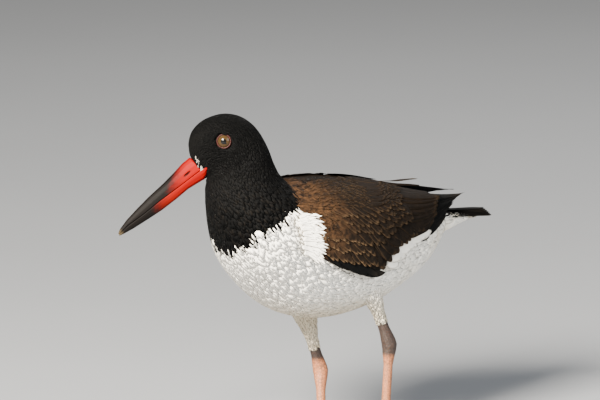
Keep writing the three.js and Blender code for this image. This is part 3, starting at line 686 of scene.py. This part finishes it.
def bill_material():
    s = Surface("bill_horn", Specular_IOR_Level=0.06)
    reach, upper = s.value("reach"), s.value("upper")
    streak = s.noise(350.0, 4.0, 0.6)
    rough = s.noise(1600.0, 3.0, 0.7)
    start = reach + (streak - 0.5) * 0.1
    dusk_above = (start + s.value("crest") * 0.26).step(0.13, 0.43) * upper
    darkening = dusk_above + start.step(0.36, 0.62) * (1 - upper)
    glow = s.mix(start.step(0.1, 0.5), (0.15, 0.0004, 0.0001), (0.11, 0.003, 0.0004))
    dark = s.mix(reach.step(0.93, 1.0) * streak, (0.003, 0.0023, 0.002), (0.11, 0.08, 0.04))
    colour = s.mix(darkening.math("MINIMUM", 1.0), glow, dark)
    # Painted shade in the nostril slits: the horn goes dark close to each nostril
    s.set("Base Color", s.mix(s.value("pit").step(0.35, 1.0), (0.02, 0.004, 0.003), colour))
    s.set("Roughness", 0.5 + 0.2 * rough)
    s.bump(streak + rough * 0.4, 0.00025, 0.4)


def eye_material():
    s = Surface(
        "wet_eye", Roughness=0.2, Specular_IOR_Level=0.15, Coat_Weight=0.12, Coat_Roughness=0.02,
    )
    out, fleck = s.value("out"), s.value("fleck")
    rays = s.noise(2200.0, 3.0, 0.7)
    iris = s.mix(rays, (0.01, 0.005, 0.0015), (0.042, 0.024, 0.008))
    iris = s.mix(out.step(0.78, 0.98), iris, (0.03, 0.018, 0.008))
    pupil = (1 - out.step(0.45, 0.5)).most(1 - fleck.step(0.14, 0.2))
    s.set("Base Color", s.mix(pupil, iris, (0.002, 0.002, 0.002)))


def lid_material():
    s = Surface("bare_lid", Roughness=0.5, Specular_IOR_Level=0.2)
    folds = s.noise(2600.0, 3.0, 0.6)
    # Painted shade in the creases: the lid is darker between its raised folds
    raised = folds.step(0.35, 0.7)
    s.set("Base Color", s.mix(raised, (0.008, 0.0012, 0.0006), (0.04, 0.004, 0.0012)))
    s.bump(folds, 0.0002, 0.8)


def leg_material():
    s = Surface("leg_scales", Subsurface_Weight=0.08, Subsurface_Scale=0.002)
    up, back = s.value("up"), s.value("back")
    blotch = s.noise(260.0, 4.0, 0.6)
    scutes = s.node(
        "ShaderNodeTexVoronoi", 0, {"feature": "DISTANCE_TO_EDGE"},
        Vector=s.node("ShaderNodeTexCoord", "Object"), Scale=520.0,
    )
    flesh = s.mix(blotch, (0.24, 0.075, 0.026), (0.4, 0.15, 0.06))
    # Dark brown of the painted shadow and painted shade on the legs
    painted_shadow = s.mix(blotch, (0.013, 0.0065, 0.0035), (0.04, 0.0175, 0.0085))
    # Painted shadow of the belly above each leg's shadow height and painted shade on faces turned
    # towards the tail, with a few real dark blotches; the skin and its scale lines both darken
    # there
    brown = up.step(-0.003, 0.003) + back.step(0.3, 0.9) * 0.7 + blotch.step(0.6, 0.8) * 0.15
    darkening = brown.math("MINIMUM", 1.0)
    colour = s.mix(darkening, flesh, painted_shadow)
    line = s.mix(darkening, (0.11, 0.045, 0.02), (0.006, 0.003, 0.002))
    s.set("Base Color", s.mix(1 - scutes.step(0.0, 0.12), colour, line))
    s.set("Roughness", 0.45 + 0.25 * blotch)
    s.bump(scutes.step(0.0, 0.2) + blotch * 0.5, 0.00022, 0.7)


def claw_material():
    s = Surface("claw_horn", Coat_Weight=0.2)
    grain = s.noise(900.0)
    s.set("Base Color", s.mix(grain, (0.03, 0.022, 0.018), (0.09, 0.065, 0.05)))
    s.set("Roughness", 0.3 + 0.3 * grain)


def floor_material():
    s = Surface("studio_floor", Roughness=0.9)
    grain = s.noise(3.0, 2.0)
    s.set("Base Color", s.mix(grain, (0.22, 0.23, 0.245), (0.24, 0.25, 0.265)))


class OystercatcherSettings(bpy.types.PropertyGroup):
    """Sizes of the model and its stage."""

    seed: bpy.props.IntProperty(name="Seed", description="Start of the random numbers", default=5)
    packing: bpy.props.FloatProperty(
        name="Packing", description="Spacing of body feathers over their length", default=0.17,
        min=0.1, max=0.5,
    )
    voxel: bpy.props.FloatProperty(
        name="Voxel", description="Grain of the smoothed bill and legs", default=0.0004,
        unit="LENGTH", subtype="DISTANCE",
    )
    distance: bpy.props.FloatProperty(
        name="Camera distance", description="From the middle of the view", default=10.0,
        unit="LENGTH", subtype="DISTANCE",
    )
    azimuth: bpy.props.FloatProperty(
        name="Azimuth", description="Side the camera stands on", default=math.radians(50),
        unit="ROTATION", subtype="ANGLE",
    )
    elevation: bpy.props.FloatProperty(
        name="Elevation", description="Camera's height over the bird", default=math.radians(10),
        unit="ROTATION", subtype="ANGLE",
    )
    view_width: bpy.props.FloatProperty(
        name="View width", description="What the picture spans at the bird", default=0.48,
        unit="LENGTH", subtype="DISTANCE",
    )
    key_power: bpy.props.FloatProperty(
        name="Key light", description="Power of the main light", default=520.0, unit="POWER",
    )


class OYSTERCATCHER_OT_materials(bpy.types.Operator):
    """Makes every material of the bird and the floor"""

    bl_idname = "oystercatcher.materials"
    bl_label = "Materials"

    def execute(self, context):
        for make in (plumage_material, bill_material, eye_material, lid_material, leg_material,
                     claw_material, floor_material):
            make()
        return {"FINISHED"}


class OYSTERCATCHER_OT_skin(bpy.types.Operator):
    """Builds one skin for the torso, neck and head, and one for each thigh"""

    bl_idname = "oystercatcher.skin"
    bl_label = "Skin"

    def execute(self, context):
        sheaf = Sheaf()
        r, angle = grid(0, len(BODY) - 1, *RINGS["body"])
        black, brown = markings(r, angle)
        points = body_point(r, angle, np.zeros_like(r))
        add_rings(sheaf, points, (0, 0, 1, 0.8), black=black.ravel(), brown=brown.ravel())
        for i, (knee, ankle) in enumerate(LEGS.values()):
            q, angle = grid(*THIGH["skin"], *RINGS["thigh"])
            points = crus_point(knee, ankle)(q, angle, np.zeros_like(q))
            add_rings(sheaf, points, (0.5 * i, 0.82, 0.5 * i + 0.48, 1), black=0.0, brown=0.0)
        nodes = ("torso", "neck", "head", "left_thigh", "right_thigh")
        sheaf.build("skin", "plumage", nodes)
        return {"FINISHED"}


class OYSTERCATCHER_OT_coat(bpy.types.Operator):
    """Covers the skin with small feathers that follow its lie"""

    bl_idname = "oystercatcher.coat"
    bl_label = "Body coat"

    def execute(self, context):
        rng = np.random.default_rng(settings().seed)
        for name, (span, node, slot, wider) in COATS.items():
            packing = settings().packing * wider
            length_at = lambda u: np.interp(u, COAT_ROWS, COAT_LENGTH)
            u, v = spread(body_point, span, lambda u: packing * length_at(u))
            if name == "coat_head":
                u, v = self.clear_of_face(u, v)
            length = length_at(u) * rng.uniform(0.85, 1.15, len(u))
            half = length * rng.uniform(0.19, 0.25, len(u))
            depth = np.interp(u, COAT_ROWS, COAT_DEPTH)
            heights = (depth * 0.84, depth * rng.uniform(0.965, 0.995, len(u)))
            points = lie(body_point, u, v, -1, length, half, heights, rng, low=-0.45)
            black, brown = markings(u - 0.5 * (u < 14), v, rng)
            place = np.stack([v / (2 * np.pi), 0.8 * (0.05 + 0.9 * u / (len(BODY) - 1))], -1)
            pieces = dict(
                points=points, length=length, half=half, place=place, black=black, brown=brown,
                tone=rng.random(len(u)), fringe=0.35 * brown,
            )
            build_parts(name, pieces, "plumage", (node,))
        self.thighs(rng)
        return {"FINISHED"}

    def clear_of_face(self, u, v):
        """Leaves out feathers that would lie on an eye or its ring."""
        tip = body_point(u - 0.35, v, np.full_like(u, 2.0))
        root = body_point(u, v, np.full_like(u, 2.0))
        keep = np.ones(len(u), bool)
        for side in (1, -1):
            axis, middle = eye_axis(side)
            for spot in (root, tip):
                offset = spot - middle
                reach = offset @ axis
                away = np.linalg.norm(offset - reach[:, None] * axis, axis=1)
                keep &= (away > EYE_RING + 0.35) | (reach < 0)
        return u[keep], v[keep]

    def thighs(self, rng):
        sheaf = Sheaf()
        for i, (knee, ankle) in enumerate(LEGS.values()):
            surface = crus_point(knee, ankle)
            u, v = spread(surface, THIGH["roots"], lambda q: 1.1 + 0.012 * (q - 22))
            length = (6.5 + 0.09 * (u - 22)) * rng.uniform(0.75, 1.3, len(u))
            half = length * 0.17
            heights = (0.3, rng.uniform(1.3, 2, len(u)))
            points = lie(surface, u, v, -1, length, half, heights, rng, low=THIGH["tips"])
            place = np.stack([0.5 * i + 0.48 * v / (2 * np.pi), 0.829 + 0.162 * (u - 20) / 50], -1)
            add_vanes(sheaf, points, length, half, place, black=0.0, brown=0.0,
                      tone=rng.random(len(u)), fringe=0.0)
        sheaf.build("coat_thighs", "plumage", ("left_thigh", "right_thigh"))


def eye_axis(side):
    """The direction an eye looks in, and the point of the head's middle it looks from."""
    forward, up = math.radians(EYE["forward"]), math.radians(EYE["up"])
    across = side * math.cos(forward) * math.cos(up)
    axis = turned_way([across, -math.sin(forward), math.sin(up)])
    middle = turned(np.array([0.0, EYE["y"], EYE["z"]]), 1)
    return axis / np.linalg.norm(axis), middle


class OYSTERCATCHER_OT_wings(bpy.types.Operator):
    """Builds both folded wings from their cores and rows of feathers"""

    bl_idname = "oystercatcher.wings"
    bl_label = "Wings"

    def execute(self, context):
        for name, shape in WINGS.items():
            rng = np.random.default_rng(settings().seed + 1)
            sheaf = Sheaf()
            self.core(sheaf, shape)
            for row in WING_TIERS + ([STRAY_SCAPULAR] if name == "right" else []):
                self.row(sheaf, shape, rng, **row)
            sheaf.build(f"{name}_wing_feathers", "plumage", (f"{name}_wing",))
        return {"FINISHED"}

    def core(self, sheaf, shape):
        first, last, stations, across, thickness = WING_CORE.values()
        surface = wing_point(shape)
        share = np.linspace(0, 1, stations + 1)
        # The core thins over a fifth of its length in front and two fifths behind
        fade = np.minimum(1, np.minimum((share * 7 + 0.3) / 1.8, ((1 - share) * 7 + 0.3) / 3))
        v = np.linspace(0.05, 0.95, across + 1)
        y = (first + (last - first) * share)[:, None]
        sunk = 0.6 + 1.2 * (1 - fade)[:, None]
        deep = 1.2 + (thickness - 1) * fade[:, None] * np.sqrt(4 * v * (1 - v))
        outer = surface(y, v, -sunk)
        inner = surface(y, v, -sunk - deep)[:, ::-1]
        low = np.broadcast_to(v > 0.93, outer.shape[:2])
        white = np.concatenate([low, low[:, ::-1]], 1) & (y > 24)
        white = white.ravel().astype(float)
        add_rings(sheaf, np.concatenate([outer, inner], 1), (0, 0, 1, 1),
                  black=0.0, brown=1 - white)

    def row(self, sheaf, shape, rng, count, roots, tips, half, lift, rows, shift, look, fringe,
            tilt=0.5, round=0.4, blunt=0.4):
        surface = wing_point(shape)
        long, cols = 10, 5
        for k in range(rows):
            move = np.array(shift) * (k / max(1, rows - 1))
            t = (np.arange(count) + 0.5 * (k % 2)) / max(1, count - 1 + 0.5 * (rows > 1))
            stray = rng.uniform(-1, 1, (2, count, 2)) * STRAY
            root = np.array(roots[0]) + np.outer(t, np.subtract(roots[1], roots[0])) + move
            tip = np.array(tips[0]) + np.outer(t, np.subtract(tips[1], tips[0])) + move
            root, tip = root + stray[0], tip + stray[1]
            width = wing_width(shape, (root[:, 0] + tip[:, 0]) / 2)[:, None, None]
            run = (tip - root)[:, None, None] * [1, 1]
            ahead = run[..., 0:1], run[..., 1:2] * width[..., None]
            length = np.hypot(*ahead)
            a = np.linspace(0, 1, long)[None, :, None, None] ** 0.85
            s = np.linspace(-1, 1, cols)[None, None, :, None]
            wide = half * width_at(a, blunt, round)
            back = a * half * 0.35 * s ** 2
            y = root[:, None, None, :1] + run[..., 0:1] * a
            v = root[:, None, None, 1:] + run[..., 1:2] * a
            y = y - s * wide * ahead[1] / length - back * ahead[0] / length
            v = v + (s * wide * ahead[0] - back * ahead[1]) / length / width[..., None]
            rise = lift[0] + (lift[1] - lift[0]) * a + s * tilt + 0.22 * (1 - np.abs(s))
            rise = rise + 0.08 * k + rng.uniform(-0.1, 0.1, (count, 1, 1, 1))
            points = surface(y[..., 0], v[..., 0], rise[..., 0])
            place = np.stack([0.25 + 0.5 * root[:, 1], 0.05 + 0.9 * (root[:, 0] + 60) / 220], -1)
            black, brown = LOOKS[look]
            add_vanes(sheaf, points, length[:, 0, 0, 0], half, np.clip(place, 0.01, 0.99),
                      black=float(black), brown=float(brown), tone=rng.random(count),
                      fringe=fringe * rng.uniform(0.6, 1.2, count))


class OYSTERCATCHER_OT_tail(bpy.types.Operator):
    """Builds the tail from its core, its long feathers and the coverts over and under it"""

    bl_idname = "oystercatcher.tail"
    bl_label = "Tail"

    def execute(self, context):
        rng = np.random.default_rng(settings().seed + 2)
        sheaf = Sheaf()
        r, angle = grid(0, len(TAIL_CORE) - 1, *RINGS["tail"])
        over = (np.sin(angle) > 0.62).astype(float).ravel()
        add_rings(sheaf, tail_core_point(r, angle, np.zeros_like(r)), (0, 0, 1, 0.6),
                  black=over, brown=over)
        for side in (1, -1):
            for i in range(TAIL["feathers"]):
                self.feather(sheaf, rng, side, i)
        u, v = spread(tail_core_point, (0, 2.5), lambda u: 1.5)
        length = np.where(np.sin(v) > 0.3, 13.0, 19.0) * rng.uniform(0.9, 1.1, len(u))
        length = np.minimum(length, (2.95 - u) * 15)
        keep = length > 5
        u, v, length = u[keep], v[keep], length[keep]
        points = lie(tail_core_point, u, v, 1, length, length * 0.17, (0.7, 2.0), rng)
        over = (np.sin(v) > 0.62).astype(float)
        place = np.stack([v / (2 * np.pi), 0.6 * (0.05 + 0.9 * u / 3)], -1)
        add_vanes(sheaf, points, length, length * 0.2, place, black=over * 0.8, brown=over,
                  tone=rng.random(len(u)), fringe=0.1)
        sheaf.build("tail_feathers", "plumage", ("tail",))
        return {"FINISHED"}

    def feather(self, sheaf, rng, side, i):
        out = (i + 0.35) / TAIL["feathers"]
        t = np.linspace(0, 1, 12)[:, None]
        s = np.linspace(-1, 1, 5)[None]
        wide = TAIL["half"] * width_at(t, 0.35, 0.16)
        root_z = TAIL["root_z"] - (i + (0.5 if side < 0 else 0)) * TAIL["step"]
        length = TAIL["tip_y"] - 3 * out * out - TAIL["root_y"]
        y = TAIL["root_y"] + length * t - 1.4 * s ** 2 * t
        x = side * out * (8 + 6.5 * t) + s * wide
        z = root_z + (TAIL["tip_z"] - TAIL["root_z"]) * t + 0.35 * (1 - np.abs(s)) + 0.15
        points = np.stack(np.broadcast_arrays(x, y, z), -1)[None]
        place = np.array([[0.5 + 0.4 * side * out, 0.8]])
        add_vanes(sheaf, points, np.array([length]), TAIL["half"], place, black=0.85, brown=1.0,
                  tone=rng.random(1), fringe=0.08)


class OYSTERCATCHER_OT_eyes(bpy.types.Operator):
    """Builds the eyeballs and the rings of bare skin round them"""

    bl_idname = "oystercatcher.eyes"
    bl_label = "Eyes"

    def execute(self, context):
        opening, radius, face = EYE["opening"], EYE["radius"], EYE["face"]
        rim = face - radius * (1 - math.cos(math.asin(opening / radius)))
        angle = np.linspace(math.asin(opening / radius), 0.02, 16)
        ball = [(opening - 0.1, rim - EYE["depth"]), (opening, rim - 0.2)]
        ball += [(radius * math.sin(a), face - radius * (1 - math.cos(a))) for a in angle]
        turn = np.linspace(0, 2 * math.pi, 25)
        middle, half, height, depth = LID.values()
        lip = [(middle + half * math.cos(a), rim - 0.05 + height * math.sin(a))
               for a in turn[3:-3]]
        lid = [(opening + 0.35, rim - depth)] + lip[::-1] + [(EYE_RING - 0.1, rim - depth)]
        for name, side in (("left", 1), ("right", -1)):
            self.lathe(f"{name}_eyeball", side, ball, "wet_eye", f"{name}_eye", "eye")
            self.lathe(f"{name}_eye_ring", side, lid, "bare_lid", f"{name}_eyelid", "eyelid")
        return {"FINISHED"}

    def lathe(self, name, side, profile, material, node, slot):
        axis, middle = eye_axis(side)
        up = np.array([0, 0, 1.0]) - axis * axis[2]
        up /= np.linalg.norm(up)
        front = np.cross(axis, up) * side
        angle = np.linspace(0, 2 * np.pi, EYE_SIDES + 1)[:-1]
        radius, height = np.array(profile).T
        wave = 0.0
        if slot == "eyelid":
            wave = 0.09 * np.sin(angle * 17) + 0.06 * np.sin(angle * 29 + 1)
        round_ = np.cos(angle)[:, None] * front + np.sin(angle)[:, None] * up
        points = middle + radius[:, None, None] * round_
        points = points + (height[:, None] + wave)[..., None] * axis
        flat = radius[:, None, None] * round_
        spot = front * FLECK[0] * side + up * FLECK[1]
        fleck = np.linalg.norm(flat - spot, axis=-1) / EYE["opening"]
        sheaf = Sheaf()
        out = np.repeat(radius / EYE["opening"], EYE_SIDES)
        add_rings(sheaf, points, (0, 0, 1, 1), out=out, fleck=fleck.ravel())
        sheaf.build(name, material, (node,))


class OYSTERCATCHER_OT_bare_parts(bpy.types.Operator):
    """Smooths the bill and the legs, and gives the claws their horn"""

    bl_idname = "oystercatcher.bare_parts"
    bl_label = "Bill, legs and claws"

    def execute(self, context):
        for node in ("bill_upper", "bill_lower"):
            self.bill_half(node)
        for name in LEGS:
            self.leg(name)
            for toe in ("inner", "middle", "outer"):
                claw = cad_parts[f"{name}_claw_{toe}"]
                claw.data.materials.clear()
                claw.data.materials.append(bpy.data.materials["claw_horn"])
        return {"FINISHED"}

    def bill_half(self, node):
        mesh = self.smoothed(node)
        place = self.vectors(mesh.vertices, "co")
        root, tip = (turned(np.array(BILL[end]), 1) + ORIGIN for end in ("root", "tip"))
        run = (tip - root) * MM
        self.write(mesh, "reach", (place - root * MM) @ run / (run @ run))
        slope, lateral = turned_way(BILL["slope"]), turned_way([1.0, 0, 0])
        # Distance from each nostril's slit, where the bill's finish paints shade
        pit = np.full(len(place), 9.0)
        for side in (1, -1):
            nostril = turned(np.array(BILL["nostril"]) * [side, 1, 1], 1) + ORIGIN
            offset = place / MM - nostril
            offset = offset - (offset @ lateral)[:, None] * lateral
            down = offset @ slope
            aside = np.linalg.norm(offset - down[:, None] * slope, axis=1)
            pit = np.minimum(pit, np.hypot(down / BILL["slit"][0], aside / BILL["slit"][1]))
        self.write(mesh, "pit", pit)
        normal = self.vectors(mesh.vertex_normals, "vector")
        self.write(mesh, "crest", np.maximum(0, normal[:, 2]))
        self.write(mesh, "upper", np.full(len(place), float(node == "bill_upper")))
        finish(f"{node}_horn", mesh, "bill_horn", (node,))

    def leg(self, name):
        mesh = self.smoothed(f"{name}_leg")
        ankle = LEGS[name][1]
        # Above this height the leg skin carries the belly's painted shadow
        painted_shadow = (ankle[2] + BELLY_SHADOW_FROM[name]) * MM
        self.write(mesh, "up", self.vectors(mesh.vertices, "co")[:, 2] - painted_shadow)
        # Faces turned towards the tail are painted in shade
        self.write(mesh, "back", self.vectors(mesh.vertex_normals, "vector")[:, 1])
        finish(f"{name}_leg_skin", mesh, "leg_scales", (f"{name}_leg",))

    def smoothed(self, node):
        """A finely meshed copy of a node with its edges softened."""
        copy = bpy.data.objects.new(f"{node}_fine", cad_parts[node].data.copy())
        bpy.context.scene.collection.objects.link(copy)
        remesh = copy.modifiers.new("remesh", "REMESH")
        remesh.mode = "VOXEL"
        remesh.voxel_size = settings().voxel
        soft = copy.modifiers.new("soft", "SMOOTH")
        soft.iterations = 4
        graph = bpy.context.evaluated_depsgraph_get()
        mesh = bpy.data.meshes.new_from_object(copy.evaluated_get(graph))
        bpy.data.objects.remove(copy)
        return mesh

    def vectors(self, items, key):
        """One vector of each item, such as the places of a mesh's vertices."""
        found = np.zeros(len(items) * 3, np.float32)
        items.foreach_get(key, found)
        return found.reshape(-1, 3)

    def write(self, mesh, name, values):
        layer = mesh.attributes.new(name, "FLOAT", "POINT")
        layer.data.foreach_set("value", np.asarray(values, np.float32))


class OYSTERCATCHER_OT_stage(bpy.types.Operator):
    """Lays the floor, hangs the lights and sets the camera"""

    bl_idname = "oystercatcher.stage"
    bl_label = "Stage"

    def execute(self, context):
        scene = context.scene
        bpy.ops.mesh.primitive_plane_add(size=24, location=(0, 0, 0))
        floor = context.object
        floor.name = "floor"
        floor.data.materials.append(bpy.data.materials["studio_floor"])
        floor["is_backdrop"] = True
        azimuth, elevation = settings().azimuth, settings().elevation
        back = Vector((
            math.sin(azimuth) * math.cos(elevation), -math.cos(azimuth) * math.cos(elevation),
            math.sin(elevation),
        ))
        right = Vector((math.cos(azimuth), math.sin(azimuth), 0))
        up = back.cross(right)
        middle = right * VIEW_MIDDLE[0] + up * VIEW_MIDDLE[1]
        camera = bpy.data.objects.new("camera", bpy.data.cameras.new("camera"))
        scene.collection.objects.link(camera)
        turn = Matrix((right, up, back)).transposed().to_4x4()
        camera.matrix_world = Matrix.Translation(middle + back * settings().distance) @ turn
        camera.data.sensor_width = FILM
        camera.data.lens = FILM * settings().distance / settings().view_width
        camera.data.clip_end = 60
        scene.camera = camera
        for name, (place, size, share, colour) in LAMPS.items():
            light = bpy.data.lights.new(name, "AREA")
            light.size, light.energy, light.color = size, settings().key_power * share, colour
            away = right * place[0] + up * place[1] + back * place[2]
            lamp = bpy.data.objects.new(name, light)
            lamp.location = Vector(LIT_POINT) + away
            lamp.rotation_euler = (-away).to_track_quat("-Z", "Y").to_euler()
            scene.collection.objects.link(lamp)
        world = bpy.data.worlds.new("studio")
        world.use_nodes = True
        sky = world.node_tree.nodes["Background"].inputs
        sky["Color"].default_value = (0.8, 0.86, 0.95, 1)
        sky["Strength"].default_value = 0.17
        scene.world = world
        return {"FINISHED"}


STEPS = (
    OYSTERCATCHER_OT_materials,
    OYSTERCATCHER_OT_skin,
    OYSTERCATCHER_OT_coat,
    OYSTERCATCHER_OT_wings,
    OYSTERCATCHER_OT_tail,
    OYSTERCATCHER_OT_eyes,
    OYSTERCATCHER_OT_bare_parts,
    OYSTERCATCHER_OT_stage,
)


class OYSTERCATCHER_PT_panel(bpy.types.Panel):
    """Settings and steps of the model"""

    bl_idname = "OYSTERCATCHER_PT_panel"
    bl_label = "Oystercatcher"
    bl_space_type = "VIEW_3D"
    bl_region_type = "UI"
    bl_category = "Oystercatcher"

    def draw(self, context):
        for name in OystercatcherSettings.__annotations__:
            self.layout.prop(context.scene.oystercatcher, name)
        for step in STEPS:
            self.layout.operator(step.bl_idname)


CLASSES = (OystercatcherSettings, *STEPS, OYSTERCATCHER_PT_panel)


def register():
    for cls in CLASSES:
        bpy.utils.register_class(cls)
    bpy.types.Scene.oystercatcher = bpy.props.PointerProperty(type=OystercatcherSettings)


def unregister():
    del bpy.types.Scene.oystercatcher
    for cls in reversed(CLASSES):
        bpy.utils.unregister_class(cls)


def main():
    sizes = {"cad": [list(corner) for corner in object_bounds()]}
    register()
    bpy.ops.oystercatcher.materials()
    bpy.ops.oystercatcher.skin()
    bpy.ops.oystercatcher.coat()
    bpy.ops.oystercatcher.wings()
    bpy.ops.oystercatcher.tail()
    bpy.ops.oystercatcher.eyes()
    bpy.ops.oystercatcher.bare_parts()
    bpy.ops.oystercatcher.stage()
    sizes["visual"] = [list(corner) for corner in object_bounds()]


if __name__ == "__main__":
    main()
